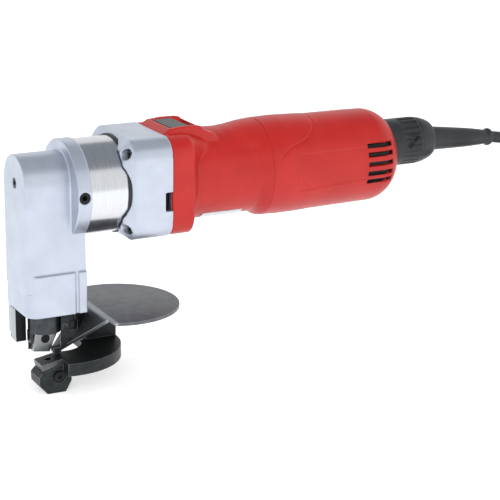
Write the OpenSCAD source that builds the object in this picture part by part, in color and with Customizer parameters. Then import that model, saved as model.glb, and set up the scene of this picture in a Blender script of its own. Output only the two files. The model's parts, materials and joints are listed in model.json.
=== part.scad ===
// Corded sheet-metal shear with a swivelling head, a crescent lower jaw and a slide switch.
// The barrel runs along Y with the blades at -Y; the foot of the lower jaw stands on z = 0.

/* [Tool] */
// Length from the front face of the shear head to the end of the cord collar
tool_len = 297; // [297:1:300]
// Height of the barrel axis above the bottom of the foot
axis_h = 126; // [125:1:130]
// Diameter of the slim part of the motor housing
barrel_d = 55.6; // [55:0.2:57]
// Diameter of the rear cover
cover_d = 63.6; // [62:0.2:65]
// Wall of the moulded housings
wall = 2.5; // [2.2:0.1:3]

/* [Shear head] */
// Width of the upper part of the head casting
head_w = 37.4; // [36:0.2:40]
// Depth of the head casting along the barrel
head_d = 38.5; // [38:0.5:40]
// Top of the head above the barrel axis
head_top = 24; // [23.5:0.5:25.5]
// Bottom of the head below the barrel axis
head_bot = 75.6; // [75:0.2:77]
// Diameter of the swivel neck
neck_d = 60; // [59.6:0.2:60.4]

/* [Gear case] */
// Width of the gear case
case_w = 66; // [65:0.5:68]
// Height of the gear case
case_h = 63.6; // [63.6:0.2:65]
// Corner radius of the gear case
case_r = 12; // [11:0.5:12]

/* [Cutting] */
// Diameter of the plunger
plunger_d = 20.8; // [20:0.2:21]
// Throw of the crank pin, half the blade stroke
crank = 3.5; // [3:0.1:3.5]
// X position of the cutting plane
cut_x = 3; // [2.8:0.1:3.2]
// Diameter of the guide disc
disc_d = 81.4; // [78:0.2:82]

/* [Cord] */
// Diameter of the mains cord
cord_d = 8; // [7.5:0.1:8.5]

/* [Hidden] */

$fn = 48;

// Running clearance of a fit
fit = 0.05;

// Stations along the barrel, measured back from the front face of the head
case_s = 60;
housing_s = 91;
seam_s = 163;
tail_s = 264;
collar_s = 258;
relief_len = 53;

// Bevel around the front of the gear case
case_bevel = 6.2;

// Radii of the barrel
barrel_r = barrel_d / 2;
cover_r = cover_d / 2;
neck_r = neck_d / 2;

// Plunger axis, and the plan centre of the crescent
plunger_s = 17.4;
plunger_r = plunger_d / 2;
ring_x = -12;
ring_s = 31;

// Heights of the jaw below the barrel axis
jaw_top = -105;
jaw_bot = -113;
disc_z = -79;
disc_t = 2;
disc_s = 65.8;
bend_s = 49;
web_bot = -91;
ramp_deg = 44.4;
ramp_len = 34.5;

// Gears: module, tooth counts and the offset of the intermediate pin
gear_m = 0.8;
pinion_z = 9;
cluster_big_z = 31;
cluster_small_z = 12;
drive_z = 28;
pin_off = gear_m * (pinion_z + cluster_big_z) / 2;

// Cord connector axis above the barrel axis, and the droop of the strain relief
conn_z = 6.5;
droop = 4;

// Coil of cord on the floor, and the line of the tail that leaves it
coil_c = [8, 300];
coil_in = 33;
coil_out = 57;
coil_h = 24;
tail_x = coil_c[0] + coil_out - cord_d / 2;
plug_y = 258;
plug_h = 18;

// Places a child at station s, with z and x from the barrel axis
module at(s, z = 0, x = 0) translate([x, s - tool_len / 2, axis_h + z]) children();

// Cylinder along the barrel from station s0 to s1
module ycyl(r, s0, s1, z = 0, x = 0, fn = 64)
  at(s0, z, x) rotate([-90, 0, 0]) cylinder(r = r, h = s1 - s0, $fn = fn);

// Box of width w centred on x, from station s0 to s1 and height z0 to z1
module ybox(w, s0, s1, z0, z1, x = 0)
  at(s0) translate([x - w / 2, 0, z0]) cube([w, s1 - s0, z1 - z0]);

// Vertical cylinder
module vcyl(r, z0, z1, s, x = 0, fn = 48)
  at(s, z0, x) cylinder(r = r, h = z1 - z0, $fn = fn);

// Cylinder along X from x0 to x1
module xcyl(r, x0, x1, s, z, fn = 32)
  at(s, z, x0) rotate([0, 90, 0]) cylinder(r = r, h = x1 - x0, $fn = fn);

// Solid of revolution about the barrel axis; points are [radius, station]
module yturn(pts, z = 0)
  at(0, z) rotate([-90, 0, 0]) rotate_extrude($fn = 72) polygon(pts);

// Plan outline [x, s] given height
module plan(z0, z1) at(0, z0) linear_extrude(z1 - z0) children();

// Side outline [s, z] given width, from x0 to x1
module side(x0, x1, pts)
  at(0, 0, x0) rotate([90, 0, 90]) linear_extrude(x1 - x0) polygon(pts);

// Rounded rectangle
module rrect(w, h, r) {
  square([w - 2 * r, h], center = true);
  square([w, h - 2 * r], center = true);
  for (sx = [-1, 1], sy = [-1, 1])
    translate([sx * (w / 2 - r), sy * (h / 2 - r)]) circle(r = r, $fn = 32);
}

// Rounded bar across the barrel from station s0 to s1
module yslab(w, h, r, s0, s1, z = 0)
  at(s0, z) rotate([-90, 0, 0]) linear_extrude(s1 - s0) rrect(w, h, r);

// Spur gear outline: trapezoid teeth on a root circle, first tooth turned by a
module gear_outline(z, a = 0) {
  pitch = gear_m * z / 2;
  root = pitch - 0.95 * gear_m;
  tip = pitch + 0.75 * gear_m;
  step = 360 / z;
  polygon([
    for (i = [0 : z - 1])
      for (q = [[root, -0.29], [tip, -0.12], [tip, 0.12], [root, 0.29]])
        let (t = a + (i + q[1]) * step) [q[0] * sin(t), q[0] * cos(t)]
  ]);
}

// Spur gear on the barrel axis line, raised by z
module ygear(teeth, s0, s1, z = 0, a = 0)
  at(s0, z) rotate([90, 0, 180]) linear_extrude(s1 - s0) gear_outline(teeth, a);

// Socket cap screw along +Y whose head top is at station s
module yscrew(head_r, head_h, r, len, s, z, x) {
  difference() {
    ycyl(head_r, s, s + head_h, z, x, 32);
    ycyl(head_r * 0.48, s - 1, s + head_h * 0.6, z, x, 6);
  }
  ycyl(r, s + head_h, s + head_h + len, z, x, 24);
}

// ---------- gear case and gear train ----------

// Positions of the four gear case screws
case_pts = [for (sx = [-1, 1], sz = [-1, 1]) [sx * (case_w / 2 - 6.5), sz * (case_h / 2 - 8.2)]];

// Outer form of the gear case, bevelled at the front
module case_outer() {
  yslab(case_w, case_h, case_r, case_s + case_bevel, housing_s);
  hull() {
    yslab(case_w - 2 * case_bevel, case_h - 2 * case_bevel, case_r - case_bevel, case_s, case_s + 0.1);
    yslab(case_w, case_h, case_r, case_s + case_bevel, case_s + case_bevel + 0.1);
  }
}

module gear_case() color("#c3c8d2")
  difference() {
    case_outer();
    ycyl(neck_r + 1.1, case_s - 1, case_s + 4.5);
    ycyl(neck_r + fit, case_s + 4, case_s + 10.5);
    ycyl(neck_r + 1, case_s + 10, case_s + 13.5);
    difference() {
      yslab(case_w - 7, case_h - 4, 8, case_s + 13, housing_s + 1);
      for (p = case_pts) ycyl(4.4, case_s + 12, housing_s + 2, p[1], p[0], 32);
    }
    for (p = case_pts) {
      ycyl(3.4, case_s - 1, case_s + 8, p[1], p[0], 32);
      ycyl(2.1, case_s - 1, housing_s + 1, p[1], p[0], 24);
    }
    ybox(8, case_s + 26, housing_s + 1, -13.5, -1.5, case_w / 2);
  }

module gear_case_screws() color("#26282a")
  for (p = case_pts) yscrew(3.2, 3.6, 2, 30, case_s + 4.4, p[1], p[0]);

module neck_seal() color("#151617")
  difference() {
    ycyl(neck_r + 1, case_s + 2.6, case_s + 4.4);
    ycyl(neck_r + fit, case_s, case_s + 5);
  }

module bearing_plate() color("#a9adb3")
  difference() {
    union() {
      yslab(case_w - 6.4, case_h - 6.4, 7.8, housing_s, housing_s + 4);
      ycyl(13, housing_s - 1, housing_s + 6);
    }
    ycyl(9.5, housing_s - 0.5, housing_s + 5);
    ycyl(6, housing_s - 2, housing_s + 7);
    ycyl(3, housing_s - 2, housing_s + 7, pin_off, 0, 32);
    for (p = case_pts) ycyl(2.1, housing_s - 2, housing_s + 7, p[1], p[0], 24);
    for (x = [-22, 22]) ybox(8, housing_s - 1, housing_s + 5, -12, 12, x);
  }

module intermediate_pin() color("#8f9296")
  ycyl(3, case_s + 13.6, housing_s + 4, pin_off, 0, 32);

module cluster_gear() color("#77797c")
  difference() {
    union() {
      ygear(cluster_small_z, case_s + 13.8, case_s + 21.2, pin_off, 15);
      ygear(cluster_big_z, case_s + 22, case_s + 28, pin_off);
      ycyl(4.2, case_s + 21, case_s + 29.7, pin_off);
    }
    ycyl(3 + fit, case_s + 13, case_s + 31, pin_off, 0, 32);
  }

module drive_gear() color("#8a8c8f")
  difference() {
    ygear(drive_z, case_s + 14, case_s + 21);
    ycyl(5, case_s + 13, case_s + 22, 0, 0, 32);
  }

module eccentric_shaft() color("#9b9ea2") {
  ycyl(3, 10, 23.5, crank, 0, 32);
  ycyl(6, 28.5, case_s + 14, 0, 0, 32);
  ycyl(5, case_s + 14, case_s + 21.4, 0, 0, 32);
}

module counterweight() color("#7d8083")
  difference() {
    union() {
      ycyl(6.5, 23.5, 28.5);
      at(23.5) rotate([-90, 0, 0]) linear_extrude(5)
        intersection() {
          circle(r = 10.6);
          translate([-11, 0]) square([22, 11]);
        }
    }
    ycyl(0.9, 23, 29, -4, 0, 16);
  }

module crank_roller() color("#b9bcc0")
  difference() {
    ycyl(4, 12, 23, crank, 0, 32);
    ycyl(3, 11, 24, crank, 0, 32);
  }

module output_bearings() color("#b0b3b8") {
  for (b = [[30, 37, 13], [case_s + 1, case_s + 8, 13]])
    difference() {
      ycyl(b[2], b[0], b[1]);
      ycyl(6 + fit, b[0] - 1, b[1] + 1, 0, 0, 32);
      for (s = [b[0] - 1, b[1] - 0.6])
        difference() {
          ycyl(11, s, s + 1.6);
          ycyl(8, s - 1, s + 3);
        }
    }
}

// ---------- motor ----------

module armature_shaft() color("#a5a8ac") {
  ygear(pinion_z, case_s + 22, case_s + 28.2);
  ycyl(4, case_s + 28.2, 148);
  ycyl(3.5, 148, 179, 0, 0, 32);
}

module armature_front_bearing() color("#b0b3b8")
  difference() {
    ycyl(9.5, housing_s - 0.5, housing_s + 5);
    ycyl(4 + fit, housing_s - 2, housing_s + 6, 0, 0, 32);
  }

module armature_rear_bearing() color("#b0b3b8")
  difference() {
    ycyl(8, 171, 177);
    ycyl(3.5 + fit, 170, 178, 0, 0, 32);
  }

module cooling_fan() color("#2c3a33")
  difference() {
    union() {
      ycyl(7, 99, 108);
      ycyl(21.5, 106.5, 108);
      for (i = [0 : 11])
        at(99) rotate([0, i * 30, 0]) translate([6, 0, -0.6]) cube([15, 8, 1.2]);
    }
    ycyl(4, 98, 109, 0, 0, 32);
  }

module armature_core() color("#5c5e61")
  difference() {
    ycyl(15.2, 116, 148);
    ycyl(4, 115, 149, 0, 0, 32);
    for (i = [0 : 11])
      at(115) rotate([0, i * 30, 0]) translate([11.5, 0, -0.9]) cube([5, 34, 1.8]);
  }

module armature_windings() color("#b4622c")
  for (b = [[110, 116], [148, 155]])
    difference() {
      ycyl(12.6, b[0], b[1]);
      ycyl(4, b[0] - 1, b[1] + 1, 0, 0, 32);
    }

module commutator() color("#c07c45")
  difference() {
    ycyl(9.5, 157, 168.5);
    ycyl(3.5, 156, 170, 0, 0, 32);
    for (i = [0 : 11])
      at(156.5) rotate([0, i * 30, 0]) translate([8.6, 0, -0.25]) cube([2, 13, 0.5]);
  }

module field_core() color("#5a5c5f")
  difference() {
    ycyl(24.8, 115, 149);
    ycyl(15.8, 114, 150);
    for (sx = [-1, 1]) ybox(7, 114, 150, -12, 12, sx * 17);
    ybox(9, 114, 150, 22.2, 26);
  }

module field_coils() color("#a85a2a")
  for (sx = [-1, 1])
    difference() {
      ybox(3.6, 110.5, 153, -11.6, 11.6, sx * 18.4);
      ybox(5, 116, 148, -5, 5, sx * 18.4);
    }

module fan_baffle() color("#1c1d1f")
  difference() {
    ycyl(25, 108.6, 110);
    ycyl(18, 108, 111);
    ybox(9, 108, 111, 22.2, 26);
  }

module brush_bracket() color("#1f2022")
  difference() {
    union() {
      ycyl(27.6, 170.5, 174.5);
      ycyl(11, 170.5, 178);
    }
    ycyl(8, 171, 177);
    ycyl(5, 170, 179);
    for (sz = [-1, 1]) ybox(26, 170, 175, sz * 19 - 4.5, sz * 19 + 4.5);
    ybox(9, 170, 175, 22, 25.8);
    for (p = bracket_pts) ycyl(1.8, 170, 175, p[1], p[0], 24);
  }

module bracket_screws() color("#8a8d90")
  for (p = bracket_pts) {
    ycyl(3, 174.5, 176.7, p[1], p[0], 24);
    ycyl(1.8, 160, 174.5, p[1], p[0], 24);
  }

module brush_holders() color("#b8964a")
  for (sx = [-1, 1]) {
    difference() {
      ybox(15, 158, 168, -4.4, 4.4, sx * 18.2);
      ybox(17, 159, 167, -3.4, 3.4, sx * 18.2);
    }
    ybox(5, 168, 170.5, -3, 3, sx * 18.2);
  }

module brushes() color("#2b2b2d")
  for (sx = [-1, 1]) ybox(8, 159.1, 166.9, -3.3, 3.3, sx * 13.65);

module brush_springs() color("#9a9da0")
  for (sx = [-1, 1])
    difference() {
      at(163, 0, sx * 21.5) rotate([0, 90, 0]) cylinder(r = 2.8, h = 7.4, center = true, $fn = 32);
      at(163, 0, sx * 21.5) rotate([0, 90, 0]) cylinder(r = 2, h = 9, center = true, $fn = 32);
    }

// ---------- housings ----------

// Posts for the bracket screws stand on the housing's wall
bracket_pts = [for (sx = [-1, 1]) [sx * 17, -17]];

// Station where the switch section starts to narrow into the barrel
block_end = 105.5;

// Outer form of the motor housing: switch section, throat, slim barrel and flare
module housing_outer() {
  yslab(case_w - 0.6, case_h - 0.8, case_r, housing_s, block_end, -0.2);
  hull() {
    yslab(case_w - 0.6, case_h - 0.8, case_r, block_end - 0.1, block_end, -0.2);
    ycyl(barrel_r, 114, 114.1);
  }
  hull() {
    yslab(37, 6, 2.5, 97, 116, 32.2);
    yslab(33, 6, 2.5, 91, 121, 28.4);
  }
  yturn([[0, 114], [barrel_r, 114], [barrel_r, 151], [barrel_r + 0.8, 154], [cover_r - 0.8, seam_s],
    [0, seam_s]]);
}

module motor_housing() color("#b9302c") {
  for (p = bracket_pts)
    difference() {
      ycyl(4.2, 152, 170.5, p[1], p[0], 24);
      ycyl(1.8, 160, 171, p[1], p[0], 24);
    }
  difference() {
    housing_outer();
    difference() {
      yslab(case_w - 6, case_h - 6, 8, housing_s - 1, block_end - wall);
      for (p = case_pts) ycyl(4.4, housing_s + 4, housing_s + 15, p[1], p[0], 32);
    }
    ycyl(barrel_r - wall, 100, 156);
    ycyl(27.8, 155.5, seam_s + 1);
    ybox(28, 97.6, 118, 30.8, 40);
    ybox(7, 98, 111, 20, 34);
    ybox(9, 100, 116, 22, 28.6);
    for (p = case_pts) ycyl(2.2, housing_s - 1, housing_s + 8, p[1], p[0], 24);
  }
}

// Rear cover profile points, outer then inner, with the rounded tail as an arc
tail_r = 20;
function tail_arc(r_out, s_end, r, n = 8) =
  [for (i = [0 : n]) let (t = 90 * i / n) [r_out - r + r * cos(t), s_end - r + r * sin(t)]];

// Places of the rear cover screws
tail_pts = [for (sx = [-1, 1]) [sx * 9, -17]];

module rear_cover() color("#b9302c")
  difference() {
    yturn(concat([[0, seam_s], [cover_r - 0.8, seam_s], [cover_r, seam_s + 14]],
      tail_arc(cover_r - 0.8, tail_s, tail_r), [[0, tail_s]]));
    difference() {
      yturn(concat([[0, seam_s - 1], [28.8, seam_s - 1]],
        tail_arc(cover_r - 0.8 - wall, tail_s - wall, tail_r - wall), [[0, tail_s - wall]]));
      ycyl(18.4, 246, tail_s, conn_z);
      for (p = tail_pts) ycyl(5, 246, tail_s, p[1], p[0], 32);
    }
    for (sx = [-1, 1], i = [0 : 4])
      ybox(22, 233, 254, 11 - i * 5.8, 13.8 - i * 5.8, sx * 36);
    ycyl(16.6, 256, tail_s + 1, conn_z);
    ycyl(12.8, 240, tail_s + 1, conn_z);
    for (p = tail_pts) {
      ycyl(3.4, 254, tail_s + 1, p[1], p[0], 24);
      ycyl(1.8, 240, tail_s + 1, p[1], p[0], 24);
    }
  }

module rear_cover_screws() color("#3a3c3e")
  for (p = tail_pts) {
    ycyl(3.2, 254, 256.4, p[1], p[0], 24);
    ycyl(1.8, 242, 254, p[1], p[0], 24);
  }

module rating_plate() color("#c9ccd0")
  intersection() {
    difference() {
      ycyl(barrel_r + 0.45, 119, 147);
      ycyl(barrel_r + 0.02, 118, 148);
    }
    ybox(34, 119, 147, -30, -20);
  }

module switch_body() color("#222426")
  difference() {
    union() {
      ybox(18, 190, 222, -8, 14);
      ybox(14, 222, 228, -4, 8);
    }
    ybox(9, 196, 214, 9, 15);
  }

module inlet_socket() color("#18191b")
  difference() {
    ycyl(12.8, 240, 260, conn_z);
    difference() {
      ycyl(11.2, 252, 261, conn_z);
      ycyl(8, 251, 262, conn_z);
    }
    for (sx = [-1, 1]) ybox(1.6, 245, 261, conn_z - 3, conn_z + 3, sx * 3.6);
  }

module inlet_pins() color("#c2a355")
  for (sx = [-1, 1]) ybox(1.6, 245, 270, conn_z - 3, conn_z + 3, sx * 3.6);

// ---------- switch ----------

module switch_slider() color("#3f4245") {
  difference() {
    ybox(26.6, 98.4, 110.8, 31.2, 34.6);
    for (i = [0 : 4]) ybox(28, 99.8 + i * 2.2, 100.8 + i * 2.2, 34, 36);
  }
  ybox(5.6, 98.6, 103.4, 23.4, 31.3);
  ybox(6, 98.6, 206, 22.6, 24.6);
  ybox(6, 202, 206, 10, 22.8);
}

// ---------- swivelling head ----------

// Front outline of the upper head: straight sides under a round top
module head_outline(w, bottom) {
  translate([-w / 2, -bottom]) square([w, bottom + head_top - w / 2]);
  translate([0, head_top - w / 2]) circle(d = w, $fn = 64);
}

// Front outline placed from station s0 to s1
module head_bar(w, bottom, s0, s1)
  at(s0) rotate([90, 0, 180]) linear_extrude(s1 - s0) head_outline(w, bottom);

// Plan of the lower casing: one broad and one tight front corner, a groove near the rear
module casing_plan() {
  w = head_w + 3;
  hull() {
    translate([w / 2 - 8, 8.2]) circle(r = 8, $fn = 48);
    translate([3 - w / 2, 3.2]) circle(r = 3, $fn = 32);
    translate([-w / 2, 12]) square([w, 19]);
  }
  translate([-w / 2 + 1.4, 20]) square([w - 2.8, head_d - 21]);
  translate([-w / 2, 33.4]) square([w, head_d - 33.4]);
}

module shear_head() color("#c3c8d2")
  difference() {
    union() {
      head_bar(head_w, 60, 0, head_d);
      plan(-head_bot, -49) casing_plan();
      ycyl(neck_r + 0.8, 29.5, head_d);
    }
    ybox(22, 4, 23, -46, 18);
    ycyl(12.4, 22.8, 30);
    ycyl(13, 29, 37);
    ycyl(11.5, 36, 39);
    vcyl(11, -52, -12, plunger_s);
    vcyl(12.6, -head_bot - 1, -51, plunger_s);
    xcyl(3.6, 20, 33, 33.8, 0);
    xcyl(2.4, 12, 33, 33.8, 0);
    ycyl(3.3, -1, 2.2, 6.5, 0, 32);
    ycyl(2, -1, 5, 6.5, 0, 24);
    for (p = bolt_pts) vcyl(2, -head_bot - 1, -60, p[1], p[0], 24);
    vcyl(1.6, -head_bot - 1, -64, 3.6, -13.5, 24);
  }

module swivel_neck() color("#d4d6da")
  difference() {
    union() {
      ycyl(neck_r, head_d, case_s + 10.2);
      ycyl(neck_r - 1.3, case_s + 10, case_s + 12.6);
    }
    ycyl(13, case_s + 1, case_s + 8);
    ycyl(24, case_s + 8, case_s + 13);
    ycyl(11.5, 37, case_s + 2);
  }

module neck_retaining_ring() color("#4a4d50")
  difference() {
    ycyl(neck_r + 0.7, case_s + 10.6, case_s + 12.2);
    ycyl(neck_r - 1.3, case_s + 10, case_s + 13);
  }

module plunger_bush() color("#b08d4c")
  difference() {
    vcyl(12.6, -head_bot, -51.2, plunger_s);
    vcyl(plunger_r + fit, -head_bot - 1, -51, plunger_s);
  }

module neck_lock_screw() color("#141516")
  difference() {
    union() {
      xcyl(3.4, 24, 29.8, 33.8, 0);
      xcyl(2.4, 14, 24, 33.8, 0, 24);
    }
    xcyl(1.9, 26, 31, 33.8, 0, 6);
  }

module head_front_screw() color("#1b1c1e")
  difference() {
    union() {
      ycyl(3.1, 0.3, 2.2, 6.5, 0, 32);
      ycyl(2, 2.2, 4, 6.5, 0, 24);
    }
    ycyl(1.5, -1, 1.8, 6.5, 0, 6);
  }

module hold_down() color("#86898e")
  difference() {
    union() {
      plan(-94, -head_bot) polygon([[-20.6, 1.6], [-12, 0.2], [-4.6, 0.2], [-4.6, 7], [-20.6, 7]]);
      plan(-97, -94) polygon([[-16.5, 1.2], [-12, 0.4], [-4.6, 0.4], [-4.6, 7], [-16.5, 7]]);
    }
    vcyl(1.6, -98, -75, 3.6, -13.5, 24);
    vcyl(3, -98, -93, 3.6, -13.5, 32);
  }

module hold_down_screw() color("#1b1c1e")
  difference() {
    union() {
      vcyl(2.9, -96, -93, 3.6, -13.5, 32);
      vcyl(1.6, -93, -66, 3.6, -13.5, 24);
    }
    vcyl(1.4, -97, -94.4, 3.6, -13.5, 6);
  }

// ---------- lower jaw ----------

// Height of the screw that clamps the lower blade
clamp_z = -115.2;

// Bolts that fasten the lower jaw under the head
bolt_pts = [[-14.5, 33], [6, 33.5]];

// Space taken by the ramp and everything right of its left edge, below its top face
module ramp_space()
  side(-8.6, 60, [[bend_s + 6, disc_z + 0.02], [bend_s, disc_z + 0.02],
    [bend_s - 40 * cos(ramp_deg), disc_z + 0.02 - 40 * sin(ramp_deg)],
    [bend_s - 40 * cos(ramp_deg), -130], [bend_s + 6, -130]]);

// Plan of the crescent: a broad ring, open at the front left
module crescent_plan()
  difference() {
    translate([ring_x, ring_s]) circle(r = 40, $fn = 96);
    translate([ring_x, ring_s]) circle(r = 14.5, $fn = 64);
    translate([-60, -20]) square([120, 42.5]);
    translate([-60, 20]) square([48, 28]);
    translate([-60, 0]) square([19.4, 80]);
    polygon([[ring_x - 1, ring_s], [-60, 36], [-60, 62]]);
  }

// Plan of the post that joins the crescent to the web
module post_plan()
  intersection() {
    crescent_plan();
    polygon([[-50, 40], [-12, 50], [-12, 80], [-50, 80]]);
  }

module lower_blade_holder() color("#303334")
  difference() {
    union() {
      side(cut_x, 18, [[9, -111.8], [6.5, -114.5], [6.9, -120], [12, -axis_h], [24, -axis_h],
        [28, -119], [28, -108], [24.6, -107]]);
      plan(jaw_bot, jaw_top) crescent_plan();
      plan(jaw_bot, disc_z - disc_t) post_plan();
      plan(web_bot, disc_z - disc_t)
        polygon([[-20, 19], [-9, 24], [-9, 50], [-12, 70], [-27, 68], [-40, 52]]);
      difference() {
        union() {
          vcyl(14, web_bot, -head_bot, ring_s, -6);
          side(cut_x + 0.4, 8.4, [[27.4, -85], [34, -89], [30, -100], [24.6, -104.4], [20.4, -103.4],
            [20, -99.6]]);
        }
        ramp_space();
      }
    }
    vcyl(plunger_r + 0.7, -100, -70, plunger_s);
    lower_blade_block();
    lower_blade_hole(12);
    xcyl(4.6, 15.6, 19, 19.6, clamp_z);
    xcyl(2.2, 1, 19, 19.6, clamp_z, 24);
    for (p = bolt_pts) vcyl(2, -100, -70, p[1], p[0], 24);
    for (p = bolt_pts) vcyl(3.4, -100, -84, p[1], p[0], 32);
    for (p = plate_pts) vcyl(1.6, -92, -80, p[1], p[0], 24);
  }

// Square lower blade, tilted up towards the rear
module lower_blade_block()
  at(9.6, -111.9, cut_x) rotate([10, 0, 0]) cube([14, 14, 5]);

// Hole along the thickness of the lower blade
module lower_blade_hole(depth)
  at(9.6, -111.9, cut_x) rotate([10, 0, 0]) translate([7, 7, -depth / 2])
    cylinder(r = 2.3, h = depth, $fn = 32);

module lower_blade() color("#a9abab")
  difference() {
    lower_blade_block();
    lower_blade_hole(14);
  }

module lower_blade_clamp() color("#232527")
  difference() {
    union() {
      xcyl(4.6, 15.6, 17.4, 19.6, clamp_z);
      xcyl(3, 17.4, 19.2, 19.6, clamp_z);
      xcyl(2.2, cut_x + 0.2, 15.6, 19.6, clamp_z, 24);
    }
    xcyl(1.6, 17.8, 20, 19.6, clamp_z, 6);
  }

module holder_bolts() color("#1b1c1e")
  for (p = bolt_pts)
    difference() {
      union() {
        vcyl(3.2, -88, -84, p[1], p[0], 32);
        vcyl(2, -84, -61, p[1], p[0], 24);
      }
      vcyl(1.6, -89, -85.6, p[1], p[0], 6);
    }

// Screws of the guide plate into the web
plate_pts = [[-19, 54], [-32, 56]];

module guide_plate() color("#63666a")
  difference() {
    union() {
      plan(disc_z - disc_t, disc_z)
        intersection() {
          translate([0, disc_s]) circle(d = disc_d, $fn = 96);
          translate([-60, bend_s]) square([120, 80]);
        }
      at(bend_s, disc_z) rotate([ramp_deg, 0, 0]) rotate([0, 0, 180]) translate([0, 0, -disc_t])
        linear_extrude(disc_t)
          polygon([[8, -0.8], [-28, -0.8], [-28, 0.4], [-3.6, ramp_len], [5, ramp_len], [8, 26]]);
    }
    for (p = plate_pts) {
      vcyl(1.6, -82, -78, p[1], p[0], 24);
      vcyl(3, disc_z - 1, -78, p[1], p[0], 32);
    }
  }

module guide_plate_screws() color("#3a3c3e")
  for (p = plate_pts) {
    vcyl(2.9, disc_z - 1, disc_z - 0.1, p[1], p[0], 32);
    vcyl(1.6, -90, disc_z - 1, p[1], p[0], 24);
  }

// ---------- plunger ----------

module plunger() color("#4c4e50")
  difference() {
    union() {
      vcyl(plunger_r, -90, -13, plunger_s);
      ybox(21, 12.2, 22.6, -14, 17.5);
      intersection() {
        vcyl(plunger_r, -102, -89, plunger_s);
        ybox(8, 6, 22, -102, -89, -6);
      }
      ybox(5.6, 7, 9.2, -96, -89, -0.2);
      xcyl(1.1, -3, 2.6, 8.1, -96);
    }
    ybox(16, 11, 24, -8, 15.2);
    ybox(5.2, 10.3, 30, -91, -80, 0.5);
    xcyl(1.7, -12, -1, 17, -95, 24);
  }

module upper_blade() color("#c9cbce")
  difference() {
    side(-2, cut_x - 0.15, [[10.6, -80.2], [10.6, -88], [8.6, -102.2], [19.6, -103.8], [22.4, -97],
      [25.6, -90], [25.6, -80.2]]);
    xcyl(1.7, -3, 4, 17, -95, 24);
    xcyl(2.9, 1.2, 4, 17, -95, 32);
  }

module upper_blade_screw() color("#141516")
  difference() {
    union() {
      xcyl(2.8, 1.3, cut_x - 0.3, 17, -95, 32);
      xcyl(1.6, -9, 1.3, 17, -95, 24);
    }
    xcyl(1.3, 1.8, 4, 17, -95, 6);
  }

// ---------- cord connector ----------

module collar() color("#1d2021")
  difference() {
    union() {
      yturn([[0, collar_s], [15.6, collar_s], [16, collar_s + 1], [16, 284], [14.8, 290],
        [13.2, 295.4], [12.4, tool_len], [0, tool_len]], conn_z);
      for (i = [0 : 17])
        at(collar_s + 13, conn_z) rotate([0, i * 20, 0]) translate([15.4, 0, -1])
          cube([1.2, 12, 2]);
    }
    ycyl(12.8 + fit, collar_s - 1, 261.3, conn_z);
    ycyl(11.2, 261, tool_len + 1, conn_z);
    ybox(5, 272, 280, 20.4, 24);
  }

module connector_core() color("#26282a")
  difference() {
    ycyl(11.2 - fit, 262, tool_len, conn_z);
    for (sx = [-1, 1]) ybox(1.8, 261, 270.4, conn_z - 3.2, conn_z + 3.2, sx * 3.6);
  }

module strain_relief() color("#1b1d1e") {
  ycyl(8.4, tool_len, tool_len + 1.8, conn_z);
  at(tool_len, conn_z) rotate([-90 - droop, 0, 0]) rotate_extrude($fn = 32)
    polygon([[0, 0.8], [8, 0.8], [7.8, 10], [6.5, 32], [5.2, 48], [6, 50], [6, 52], [5, relief_len],
      [0, relief_len]]);
}

// Sweeps a tube of radius r along points by turning a ring at each one
function unit(v) = v / norm(v);
function heading(pts, i) =
  unit(pts[min(i + 1, len(pts) - 1)] - pts[max(i - 1, 0)]);
function ring_at(p, d, r, n) =
  let (side_v = unit(cross(d, [1, 0, 0])), up_v = cross(side_v, d))
  [for (k = [0 : n - 1]) p + r * (cos(360 * k / n) * side_v + sin(360 * k / n) * up_v)];

module tube(pts, r, n = 10) {
  m = len(pts);
  polyhedron(
    points = [for (i = [0 : m - 1]) each ring_at(pts[i], heading(pts, i), r, n)],
    faces = concat(
      [[for (k = [0 : n - 1]) k]],
      [for (i = [0 : m - 2], k = [0 : n - 1])
        [i * n + k, (i + 1) * n + k, (i + 1) * n + (k + 1) % n, i * n + (k + 1) % n]],
      [[for (k = [n - 1 : -1 : 0]) (m - 1) * n + k]]));
}

// Exit of the cord at the end of the strain relief
cord_exit = [0, tool_len / 2 + relief_len * cos(droop), axis_h + conn_z - relief_len * sin(droop)];

// Route of the cord: out of the strain relief, down to the floor and onto the coil
cord_route = [
  cord_exit, [0, 212, 127], [-2, 222, 123], [-4, 230, 117], [-7, 238, 107], [-11, 244, 95],
  [-15, 250, 82], [-19, 256, 69], [-22, 261, 56], [-25, 268, 45], [-27, 277, 36], [-28, 288, 29],
  [-29, 301, 24]
];

// Tail of the cord from the coil to the plug
tail_route = [[tail_x, 300, 4], [tail_x, 292, 4], [tail_x, 284, 5], [tail_x, 276, 7], [tail_x, 268, 9]];

module power_cord() color("#1c1e1f") tube(cord_route, cord_d / 2);

module cord_coil() color("#1c1e1f")
  translate([coil_c[0], coil_c[1], 0]) rotate_extrude($fn = 72)
    polygon([[coil_in, 3], [coil_in + 3, 0], [coil_out - 3, 0], [coil_out, 3], [coil_out, coil_h - 3],
      [coil_out - 3, coil_h], [coil_in + 3, coil_h], [coil_in, coil_h - 3]]);

// Strap around the bundle of turns, standing on the floor
tie_wall = 0.8;
tie_w = 14;

module cord_tie() color("#101112")
  translate([coil_c[0], coil_c[1] + (coil_in + coil_out) / 2, coil_h / 2 + tie_wall / 2])
    rotate([90, 0, 90]) difference() {
      translate([0, 0, -tie_w / 2]) linear_extrude(tie_w)
        rrect(coil_out - coil_in + 2 * tie_wall, coil_h + tie_wall, 4);
      translate([0, 0, -tie_w / 2 - 1]) linear_extrude(tie_w + 2)
        rrect(coil_out - coil_in, coil_h - tie_wall, 3.4);
    }

module cord_tail() color("#1c1e1f") tube(tail_route, cord_d / 2);

// Outline of the plug's body from above, and from the side
module plug_top() {
  polygon([[-6.5, 0], [6.5, 0], [13, 14], [13, 30], [-13, 30], [-13, 14]]);
  translate([-11, 28]) square([22, 10]);
}

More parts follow.
